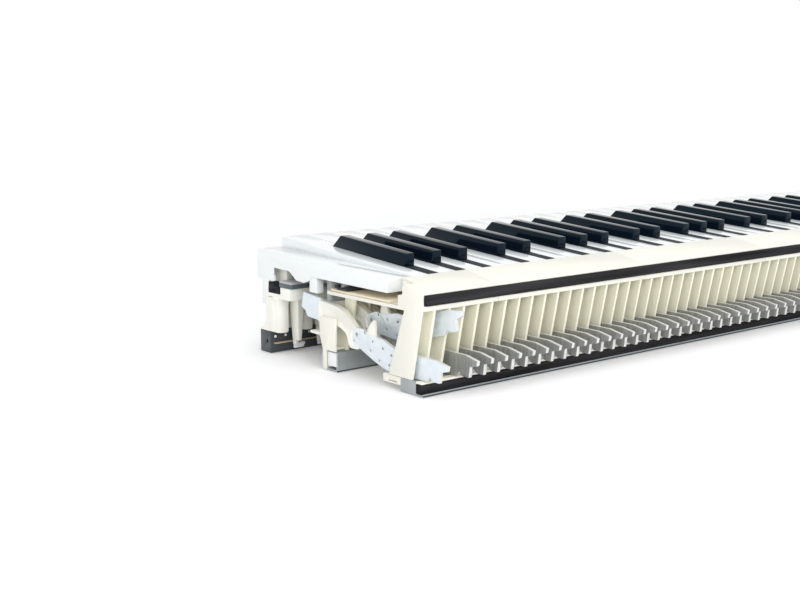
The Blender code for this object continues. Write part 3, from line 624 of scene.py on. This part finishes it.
for number in TREBLE_KEYS:
    octave, step = note_of(number)
    note = f"{NOTE_NAMES[step]}{octave}"
    held = number == KEY_COUNT
    turn = (KEY_TURN if held else 0.0) - KEY_TILT
    body = f"key_{note}"
    if is_white(number):
        add(f"{body}_moulding", stamp_keys([number], WHITE_MESHES, turn), [WHITE], body,
            [body])
    else:
        add(f"{body}_body", stamp_keys([number], BODY_MESHES, turn), [BLACK_BODY], body,
            [body])
        add(f"{body}_cap", stamp_keys([number], CAP_MESHES, turn), [BLACK_CAP], body)
    # The held hammer gets the pale steel, which is painted light. The others get the grey steel,
    # which is painted shade.
    add_hammers(f"weight_{note}", f"hammer_{note}", f"hammer_{note}", [hammer_x(number)],
                HAMMER_SWING if held else 0.0, STEEL_PAINTED_LIT if held else STEEL_PAINTED_SHADE)
# The end hammer gets the pale steel, which is painted light.
add_hammers("weight_end", "hammer_end", "hammer_end", [hammer_x(KEY_COUNT + 1)], 0.0, STEEL_PAINTED_LIT)

first = 1
for octave in range(1, TOP_OCTAVE - 1):
    last = key_number(octave, NOTES - 1)
    numbers = range(first, last + 1)
    whites = [number for number in numbers if is_white(number)]
    blacks = [number for number in numbers if not is_white(number)]
    body = f"keys_octave_{octave}"
    keys = joined_keys(whites, WHITE_MESHES, (-10.0, -SHAFT_SEAT), (-6.8, -4.3))
    add(f"white_key_set_{octave}", keys, [WHITE], body,
        [f"white_keys_octave_{octave}"])
    keys = joined_keys(blacks, BODY_MESHES, (3.3, 5.9), (-2.0, 2.1))
    add(f"black_key_set_{octave}", keys, [BLACK_BODY], body,
        [f"black_keys_octave_{octave}"])
    add(f"black_cap_set_{octave}", stamp_keys(blacks, CAP_MESHES, -KEY_TILT), [BLACK_CAP], body)
    body = f"hammer_set_octave_{octave}"
    places = [hammer_x(number) for number in numbers]
    # The grey steel here is painted shade.
    add_hammers(f"weight_set_{octave}", body, f"hammers_octave_{octave}", places, 0.0, STEEL_PAINTED_SHADE)
    reach = (SLOT_PITCH - SEAT_GAP) / 2
    shaft = rod(0.0, 0.0, HAMMER_SHAFT_RADIUS, places[0] - reach, places[-1] + reach)
    turning = bmesh.new()
    stamp(turning, as_mesh(rounded(shaft, 0.2)), place_in_row(HAMMER_PIVOT))
    add(f"turning_shaft_{octave}", turning, [ZINC], body)
    first = last + 1


# Chassis

DECK_FRONT = (31.0, -11.0)
DECK_REAR = (66.5, -18.0)
DECK_SLOPE = (DECK_REAR[1] - DECK_FRONT[1]) / (DECK_REAR[0] - DECK_FRONT[0])
POST_FOOT_Z = -79.7
COLUMN_FOOT_Z = -74.7
WEB_TOP = -29.0
WEB_BOTTOM = -31.6
# The deck's treble corner is cut off from this X on, as far back as this Y
DECK_NOTCH = (-11.0, 44.7)
RIB_THICK = 2.2
SEAM_GAP = 0.12
OCTAVE_STARTS = [octave_left(octave) for octave in range(2, TOP_OCTAVE + 1)]


def deck_z(y):
    return DECK_FRONT[1] + DECK_SLOPE * (y - DECK_FRONT[0])


POST = [(56.7, -27.5), (66.2, -27.5), (55.5, POST_FOOT_Z), (30.0, POST_FOOT_Z), (46.8, WEB_BOTTOM)]
COLUMN = [(-34.0, COLUMN_FOOT_Z), (-45.8, COLUMN_FOOT_Z), (-45.8, -89.7), (-50.4, -89.7),
          (-50.4, -74.0), (-54.1, -64.0), (-54.1, -49.5)]
END_COLUMN = COLUMN + [(-34.0, -49.5)]
WEB_FRONT = [(-43.7, WEB_BOTTOM), (-43.7, WEB_TOP)]
FULL_RIB = (POST + [(-22.7, WEB_BOTTOM), (-27.0, -50.5), (-34.0, -51.5)] + COLUMN
            + [(-37.0, -49.5), (-36.0, WEB_BOTTOM)] + WEB_FRONT + [(46.8, WEB_TOP)])
END_FRAME = ([(39.9, WEB_TOP), (39.9, -21.6), (44.7, -20.5), (44.7, deck_z(44.7) - 1.0),
              (66.2, deck_z(66.2) - 1.0)] + POST[1:] + WEB_FRONT)
SHAFT_LUG = [(31.0, deck_z(31.0) - 1.0), (31.0, -22.5), (41.0, -22.5), (41.0, deck_z(41.0) - 1.0)]


def deck_section(low, high):
    """The sloping deck with the channel and flange under its rear edge."""
    outline = [DECK_FRONT, (31.0, -13.0), (55.0, deck_z(55.0) - 2.0), (55.0, -28.5),
               (65.2, -28.5), (65.2, -30.1), (67.0, -30.1), (67.0, -26.5), (56.7, -26.5),
               (56.7, deck_z(56.7) - 2.0), (66.5, -20.0), DECK_REAR]
    section = prism(outline, low, high)
    if high > DECK_NOTCH[0]:
        section = cut(section, box((DECK_NOTCH[0], 5.0), (30.0, DECK_NOTCH[1]), (-22.0, -9.0)))
    return rounded(section, 0.5)


def chassis_mesh():
    """A rib at each side of every hammer, end frames, deck, foot bar, shaft lugs and foot lug."""
    pieces = []
    for index in range(KEY_COUNT + 1):
        outline = FULL_RIB if index % NOTES == 1 or index in (0, 2, KEY_COUNT) else POST
        x = rib_x(index)
        pieces.append(rounded(prism(outline, x - RIB_THICK / 2, x + RIB_THICK / 2), 0.3))
    for x in FULL:
        for outline in (END_FRAME, END_COLUMN):
            pieces.append(painted(rounded(prism(outline, x - 1.0, x + 1.0), 0.5), 1))
    seams = [FULL[0], *[start - 2 * WHITE_PITCH for start in OCTAVE_STARTS], FULL[1]]
    for low, high in zip(seams, seams[1:]):
        pieces.append(painted(deck_section(low + SEAM_GAP, high - SEAM_GAP), 1))
    pieces.append(painted(rounded(box(FULL, (-50.0, -38.0), (-74.4, -72.3)), 0.4), 1))
    for x in OCTAVE_STARTS + [FULL[0], -12.0]:
        pieces.append(rounded(prism(SHAFT_LUG, x - 0.7, x + 0.7), 0.3))
    foot = cut(box((-9.0, 0.0), (22.0, 42.5), (-86.0, -80.2)),
               box((-3.0, 1.0), (27.5, 37.5), (-85.0, -84.0)))
    pieces.append(painted(rounded(foot, 0.5), 1))
    pieces.append(painted(rounded(box((-6.0, 0.0), (-67.6, -52.0), (-64.7, -62.5)), 0.4), 1))
    return join(pieces)


# The ribs take the warmer ivory, which is painted glow. The rest takes the plain ivory.
add_static("chassis_moulding", chassis_mesh(), [RIB_IVORY_PAINTED_GLOW, IVORY], ["chassis"],
           bevel=0.0)


# Front guide frame

COLUMN_X = -6.3
COLUMN_Y = -116.6
BOSS_Y = -110.0
# How far each boss stands to the bass of its column
BOSS_OFFSET = 10.6


def column_x(index):
    return COLUMN_X - WHITE_PITCH * index


def column(x):
    """Round column with a rim under the shelf."""
    profile = [(5.3, -72.4), (5.7, -71.8), (5.9, -52.0), (6.2, -47.5), (6.9, -46.5), (7.1, -45.2),
               (7.1, -43.6)]
    return turned(x, COLUMN_Y, profile)


def boss(x):
    """Flat tapered screw boss, wider from front to rear than across."""
    rings = []
    for across, along, z in ((1.8, 4.0, -79.5), (2.2, 4.6, -72.0), (3.1, 6.0, -50.0),
                             (3.7, 6.9, -46.0), (3.8, 7.1, -43.6)):
        rings.append([(x - across, BOSS_Y - along, z), (x + across, BOSS_Y - along, z),
                      (x + across, BOSS_Y + along, z), (x - across, BOSS_Y + along, z)])
    return rounded(stack(rings), 0.7, 3)


def guide_frame_mesh():
    """Wall and shelf with a slot for every guide tab, and a column, boss and post for each key."""
    wall = [(-137.6, -72.2), (-125.4, -72.2), (-125.4, -44.0), (-94.5, -44.0), (-94.5, -34.7),
            (-108.0, -34.7), (-108.0, -40.5), (-125.4, -40.5), (-125.4, -36.0), (-129.0, -36.0),
            (-129.0, -64.2), (-130.2, -66.5), (-134.7, -69.4), (-137.6, -70.8)]
    slots = []
    for index in range(WHITE_KEYS):
        high = -WHITE_PITCH * index - KEY_GAP / 2
        slots.append(box((high - TAB_THICK - 0.4, high + 0.35), (-130.0, -124.0), (-52.5, -34.0)))
    pieces = [rounded(cut(prism(wall, *FULL), join(slots)), 0.5)]
    for span in both_ends(2.0):
        pieces.append(rounded(box(span, (-125.6, -117.5), (-72.2, -43.0)), 0.5))
    for index in range(WHITE_KEYS):
        x = column_x(index)
        pieces.append(column(x))
        pieces.append(boss(x - BOSS_OFFSET))
        pieces.append(rounded(box((x - 9.45, x - 1.45), (-127.0, -110.2), (-44.0, -13.5)), 0.8))
    return join(pieces)


add_static("guide_frame_moulding", guide_frame_mesh(), COLUMN_IVORY,
           ["front_guide_frame"], bevel=0.0)


# Rails, board and shafts

RAIL_FOOT = -90.0
SHEET = 1.2
FRONT_RAIL_Y = (-137.6, -122.8)
FRONT_RAIL_TOP = -72.5
# The screw hole in the treble end of the front rail, as (y, z)
SCREW_HOLE = (-127.9, -81.0)
RIVET_Z = -76.8
MIDDLE_RAIL_Y = (-45.5, -33.0)
MIDDLE_RAIL_TOP = -75.0


def channel(y, top, slot):
    """Section of a sheet channel whose front side is open between the heights of slot."""
    low, high = y
    inner_low, inner_high = low + SHEET, high - SHEET
    return [(low, RAIL_FOOT), (high, RAIL_FOOT), (high, top), (low, top), (low, slot[1]),
            (inner_low, slot[1]), (inner_low, top - SHEET), (inner_high, top - SHEET),
            (inner_high, RAIL_FOOT + SHEET), (inner_low, RAIL_FOOT + SHEET), (inner_low, slot[0]),
            (low, slot[0])]


def front_rail_mesh():
    """Channel with a wall across each end, and a screw hole in the wall at the treble end."""
    sheet = prism(channel(FRONT_RAIL_Y, FRONT_RAIL_TOP, (-86.4, -76.5)), *FULL)
    walls = [box(span, FRONT_RAIL_Y, (RAIL_FOOT, FRONT_RAIL_TOP)) for span in both_ends(SHEET)]
    return rounded(cut(fuse(sheet, *walls), rod(*SCREW_HOLE, 1.5, -3.0, 1.0, 16)), 0.35)


add_static("front_rail_sheet", front_rail_mesh(), DARK_STEEL_AND_SHADOW, ["front_rail"],
           bevel=0.0)
add_static("front_rail_grommet", rod(*SCREW_HOLE, 2.4, -4.0, -1.1), RUBBER,
           bevel=0.3)
add_static("middle_rail_sheet",
           prism(channel(MIDDLE_RAIL_Y, MIDDLE_RAIL_TOP, (-88.0, -86.2)), *FULL), ZINC,
           ["middle_rail"])
MIDDLE_TABS = [box(span, MIDDLE_RAIL_Y, (-86.4, -75.2)) for span in both_ends(SHEET)]
add_static("middle_rail_tabs", join(MIDDLE_TABS), WHITE_PAINT, bevel=0.3)
# Dark strips along the bottom of the middle and rear rails' rear faces: painted shadow under the
# rails.
add_static("middle_rail_painted_shadow", box(FULL, (-33.1, -32.8), (RAIL_FOOT, -89.1)), DARK_STEEL_AND_SHADOW,
           bevel=0.0)
add_static("rear_rail_painted_shadow", box(FULL, (66.3, 66.7), (RAIL_FOOT, -89.0)), DARK_STEEL_AND_SHADOW,
           bevel=0.0)
REAR_RAIL = [(41.7, RAIL_FOOT), (66.4, RAIL_FOOT), (66.4, -88.2), (65.4, -88.2), (65.4, -88.9),
             (57.5, -88.9), (57.5, -80.0), (43.0, -80.0), (43.0, -81.2), (56.3, -81.2),
             (56.3, -88.9), (41.7, -88.9)]
REAR_ENDS = [box(span, (41.7, 58.7), (RAIL_FOOT, -80.6)) for span in both_ends(SHEET)]
add_static("rear_rail_sheet", fuse(prism(REAR_RAIL, *FULL), *REAR_ENDS), ZINC,
           ["rear_rail"], bevel=0.3)
# The rear of the stop rail and of its felt is cut off over this X span, at the treble end
STOP_CORNER_X = (-28.0, 5.0)
STOP_BAR = cut(box(FULL, (-109.6, -70.0), (-34.4, -31.0)),
               box(STOP_CORNER_X, (-92.0, -60.0), (-40.0, -25.0)))
add_static("key_stop_bar", STOP_BAR, TEAL_STEEL, ["key_stop_rail"])
add_static("sensor_board_laminate", box(FULL, (-40.0, 30.0), (-28.7, -27.1)), BOARD,
           ["sensor_board"], bevel=0.2)
KEY_SHAFT_END = -11.3
HAMMER_SHAFT_START = rib_x(SINGLE_KEYS) + SEAT_GAP / 2
add_static("hinge_shaft_bar",
           rod(*KEY_PIVOT[1:], KEY_SHAFT_RADIUS, FULL[0], KEY_SHAFT_END), ZINC,
           ["key_hinge_shaft"], bevel=0.2)
add_static("hammer_shaft_bar",
           rod(*HAMMER_PIVOT[1:], HAMMER_SHAFT_RADIUS, HAMMER_SHAFT_START, 0.0), ZINC,
           ["hammer_shaft"], bevel=0.2)


def front_details():
    """Pale rivets along the rear of the front rail, and the clip under each boss."""
    rivets = []
    clips = []
    for index in range(WHITE_KEYS):
        x = column_x(index)
        for offset in (2.0, -7.8):
            rivets.append(stack([[(across, y, up)
                                  for across, up in circle(x + offset, RIVET_Z, radius, 12)]
                                 for radius, y in ((1.1, -123.2), (1.1, -122.3), (0.7, -122.0))]))
        # The bass end has no room for the last clip
        if index == WHITE_KEYS - 1:
            break
        clips.append(rounded(box((x - 19.5, x - 10.3), (-115.4, -112.8), (-86.6, -84.2)), 0.5))
        clips.append(rounded(box((x - 20.0, x - 10.6), (-115.8, -112.4), (-84.3, -82.0)), 0.4))
        clips.append(rounded(box((x - 12.4, x - 9.0), (-114.0, -110.5), (-83.0, -79.3)), 0.4))
    return join(rivets), join(clips)


RIVETS, CLIPS = front_details()
add_static("front_rail_rivets", RIVETS, WHITE_PAINT, bevel=0.0)
add_static("front_rail_clips", CLIPS, WHITE_PAINT, bevel=0.0)
# The ledge's light tan is a painted highlight of its lit edge.
add_static("front_rail_ledge", box((FULL[0] + 2.6, -2.6), (-122.9, -119.6), (-82.6, -81.7)),
           LEDGE_PAINTED_HIGHLIGHT, bevel=0.3)
# A black block in front of the stop rail's treble end: painted shadow.
END_SHADOW_BLOCK = [(-125.3, -40.6), (-125.3, -31.8), (-119.2, -31.8), (-119.2, -34.8), (-110.0, -34.8),
       (-110.0, -40.6)]
add_static("guide_end_painted_shadow", prism(END_SHADOW_BLOCK, -7.5, -0.2), BLACK_FELT_AND_SHADOW, bevel=0.5)


# Felts

FELT_STEP = 5.0


def felt(outline_at, inset=0.0, lean=0.0):
    """A strip of felt whose section wavers a little along its length, with ends cut at a lean."""
    count = int(LENGTH / FELT_STEP)
    rings = []
    for index in range(count + 1):
        x = -LENGTH + inset + (LENGTH - 2.0 * inset) * index / count
        wave = 0.10 * sin(x * 0.31) + 0.07 * sin(x * 0.83 + 1.3) + 0.05 * sin(x * 1.9 + 0.4)
        slant = lean * ((index == count) - (index == 0))
        outline = outline_at(wave)
        foot = min(z for _, z in outline)
        rings.append([(x + slant * (z - foot), y, z) for y, z in outline])
    return stack(rings)


def crowned(y, z, wave, crown=0.35):
    """A flat felt's section: the top is crowned and its corners are soft."""
    low, high = y
    foot, top = z
    width = high - low
    points = [(low, foot), (high, foot), (high - 0.05, top - 0.5), (high - 0.5, top - 0.1)]
    for step in (0.8, 0.6, 0.4, 0.2):
        bulge = crown * (1.0 - (2.0 * step - 1.0) ** 2)
        points.append((low + width * step, top - crown + bulge + wave * 0.6))
    return points + [(low + 0.5, top - 0.1), (low + 0.05, top - 0.5)]


def upper_felt(wave):
    """The felt under the deck's edge, whose rear face bulges between deck and flange."""
    top_front = deck_z(57.0) - 2.3
    top_rear = deck_z(66.5) - 2.3
    return [(57.0, -26.2), (68.2, -26.2), (68.5, -25.6), (68.5 + wave * 0.5, -23.8),
            (68.2 + wave * 0.6, -21.6), (68.0 + wave * 0.5, -19.4), (67.4, -18.6), (66.75, -18.7),
            (66.75, top_rear - 0.1), (66.0, top_rear), (57.0, top_front)]


def add_felt(name, bm, material, node):
    """A felt strip that stands for its CAD node and fills it."""
    item = add_static(name, bm, material, [node], bevel=0.0)


def lower_felt(wave):
    return crowned((58.8, 65.0 + wave * 0.3), (-88.5, -81.7), wave, 0.1)


def cushion(wave):
    return crowned((58.8, 65.0), (-81.4, -79.75), wave * 0.5, 0.25)


def stop_felt(wave):
    return crowned((-109.1, -70.5), (-30.9, -29.1), wave * 0.5)


add_felt("upper_felt_strip", felt(upper_felt, 2.0, 0.22), BLACK_FELT_AND_SHADOW,
         "upper_stop_felt")
add_felt("lower_felt_strip", felt(lower_felt), BLACK_FELT_AND_SHADOW, "lower_stop_felt")
add_felt("cushion_strip", felt(cushion), CREAM_FELT, "lower_cushion")
STOP_FELT = cut(felt(stop_felt), box(STOP_CORNER_X, (-92.5, -60.0), (-40.0, -20.0)))
add_felt("stop_felt_strip", STOP_FELT, GREY_FELT, "key_stop_felt")


# Contact strip

CONTACT_Y = -26.5


def contact_mesh():
    """Rubber strip with a dome for every key."""
    dome = [(4.2, -25.9), (3.9, -25.2), (2.9, -24.4), (2.2, -24.0)]
    pieces = [rounded(box(FULL, (-33.0, -20.0), (-26.8, -25.6)), 0.3)]
    for number in range(1, KEY_COUNT + 1):
        pieces.append(turned(hammer_x(number), CONTACT_Y, dome, 16))
    return join(pieces)


add_static("contact_domes", contact_mesh(), RUBBER, ["contact_strip"], bevel=0.0)


# Stage, light and camera

WORLD_LIGHT = 0.72
# How bright the floor is by itself to the eye, near the part and far from it, and where in metres
FLOOR_LIFT_NEAR = 0.13
FLOOR_LIFT_FAR = 0.6
FLOOR_FADE = (0.75, 2.2)
CAMERA_PLACE = (524.232, 679.209, 115.839)
CAMERA_YAW = -2.453622
CAMERA_PITCH = 0.168906
# Focal length and picture width, both in pixels
FOCAL_LENGTH = 1202.841
PICTURE_WIDTH = 800.0
SENSOR_WIDTH = 36.0


def white_to_view(tree, surface_output, base):
    """A mix of base and of a second shader, which only the camera and reflections see."""
    nodes = tree.nodes
    path = nodes.new("ShaderNodeLightPath")
    reflection = nodes.new("ShaderNodeMath")
    reflection.operation = "MAXIMUM"
    seen = nodes.new("ShaderNodeMath")
    seen.operation = "MAXIMUM"
    tree.links.new(path.outputs["Is Glossy Ray"], reflection.inputs[0])
    tree.links.new(path.outputs["Is Transmission Ray"], reflection.inputs[1])
    tree.links.new(path.outputs["Is Camera Ray"], seen.inputs[0])
    tree.links.new(reflection.outputs["Value"], seen.inputs[1])
    mix = nodes.new("ShaderNodeMixShader")
    tree.links.new(seen.outputs["Value"], mix.inputs["Fac"])
    tree.links.new(base, mix.inputs[1])
    tree.links.new(mix.outputs["Shader"], surface_output)
    return mix


world = bpy.data.worlds.new("studio")
bpy.context.scene.world = world
world.use_nodes = True
ambient = world.node_tree.nodes["Background"]
ambient.inputs["Color"].default_value = (0.98, 0.99, 1.0, 1.0)
ambient.inputs["Strength"].default_value = WORLD_LIGHT
plain = world.node_tree.nodes.new("ShaderNodeBackground")
plain.inputs["Color"].default_value = (1.0, 1.0, 1.0, 1.0)
plain.inputs["Strength"].default_value = 1.0
world_mix = white_to_view(world.node_tree, world.node_tree.nodes["World Output"].inputs["Surface"],
                          ambient.outputs["Background"])
world.node_tree.links.new(plain.outputs["Background"], world_mix.inputs[2])

floor_mesh = bpy.data.meshes.new("floor")
floor_bm = bmesh.new()
bmesh.ops.create_grid(floor_bm, x_segments=1, y_segments=1, size=6.0)
floor_bm.to_mesh(floor_mesh)
floor_bm.free()
floor = bpy.data.objects.new("floor", floor_mesh)
floor.location.z = -0.0005
bpy.context.scene.collection.objects.link(floor)
floor_material, floor_nodes, floor_links = shader_of("floor")
floor_shader = floor_nodes["Principled BSDF"]
floor_shader.inputs["Base Color"].default_value = (0.93, 0.93, 0.93, 1.0)
floor_shader.inputs["Roughness"].default_value = 0.8
floor_shader.inputs["Specular IOR Level"].default_value = 0.1
lift = floor_nodes.new("ShaderNodeEmission")
lift.inputs["Color"].default_value = (1.0, 1.0, 1.0, 1.0)
floor_place = floor_nodes.new("ShaderNodeTexCoord")
distance = floor_nodes.new("ShaderNodeVectorMath")
distance.operation = "LENGTH"
floor_links.new(floor_place.outputs["Object"], distance.inputs[0])
fade = floor_nodes.new("ShaderNodeMapRange")
fade.interpolation_type = "SMOOTHSTEP"
fade.inputs["From Min"].default_value = FLOOR_FADE[0]
fade.inputs["From Max"].default_value = FLOOR_FADE[1]
fade.inputs["To Min"].default_value = FLOOR_LIFT_NEAR
fade.inputs["To Max"].default_value = FLOOR_LIFT_FAR
floor_links.new(distance.outputs["Value"], fade.inputs["Value"])
floor_links.new(fade.outputs["Result"], lift.inputs["Strength"])
lifted = floor_nodes.new("ShaderNodeAddShader")
floor_links.new(floor_shader.outputs["BSDF"], lifted.inputs[0])
floor_links.new(lift.outputs["Emission"], lifted.inputs[1])
floor_mix = white_to_view(floor_material.node_tree,
                          floor_nodes["Material Output"].inputs["Surface"],
                          floor_shader.outputs["BSDF"])
floor_links.new(lifted.outputs["Shader"], floor_mix.inputs[2])
floor_mesh.materials.append(floor_material)


def area_light(name, place, target, size, power):
    data = bpy.data.lights.new(name, "AREA")
    data.shape = "RECTANGLE"
    data.size, data.size_y = size
    data.energy = power
    item = bpy.data.objects.new(name, data)
    item.location = place
    item.rotation_euler = (Vector(target) - Vector(place)).to_track_quat("-Z", "Y").to_euler()
    bpy.context.scene.collection.objects.link(item)


area_light("overhead", (0.1, 0.25, 1.9), (0.1, 0.0, 0.0), (2.6, 1.6), 10.5)
area_light("rear_fill", (1.3, 1.9, 0.9), (0.2, 0.0, 0.05), (1.6, 1.0), 20.0)
area_light("treble_fill", (2.7, 0.2, 0.8), (0.5, 0.0, 0.05), (1.4, 1.0), 3.0)

camera_data = bpy.data.cameras.new("camera")
camera_data.sensor_width = SENSOR_WIDTH
camera_data.lens = FOCAL_LENGTH / PICTURE_WIDTH * SENSOR_WIDTH
camera_data.clip_start = 0.01
camera = bpy.data.objects.new("camera", camera_data)
camera.location = (Vector(CAMERA_PLACE) - ORIGIN) * MM
forward = Vector((sin(CAMERA_YAW) * cos(CAMERA_PITCH), cos(CAMERA_YAW) * cos(CAMERA_PITCH),
                  -sin(CAMERA_PITCH)))
camera.rotation_euler = forward.to_track_quat("-Z", "Y").to_euler()
bpy.context.scene.collection.objects.link(camera)
bpy.context.scene.camera = camera
bpy.context.scene.view_settings.view_transform = "Standard"
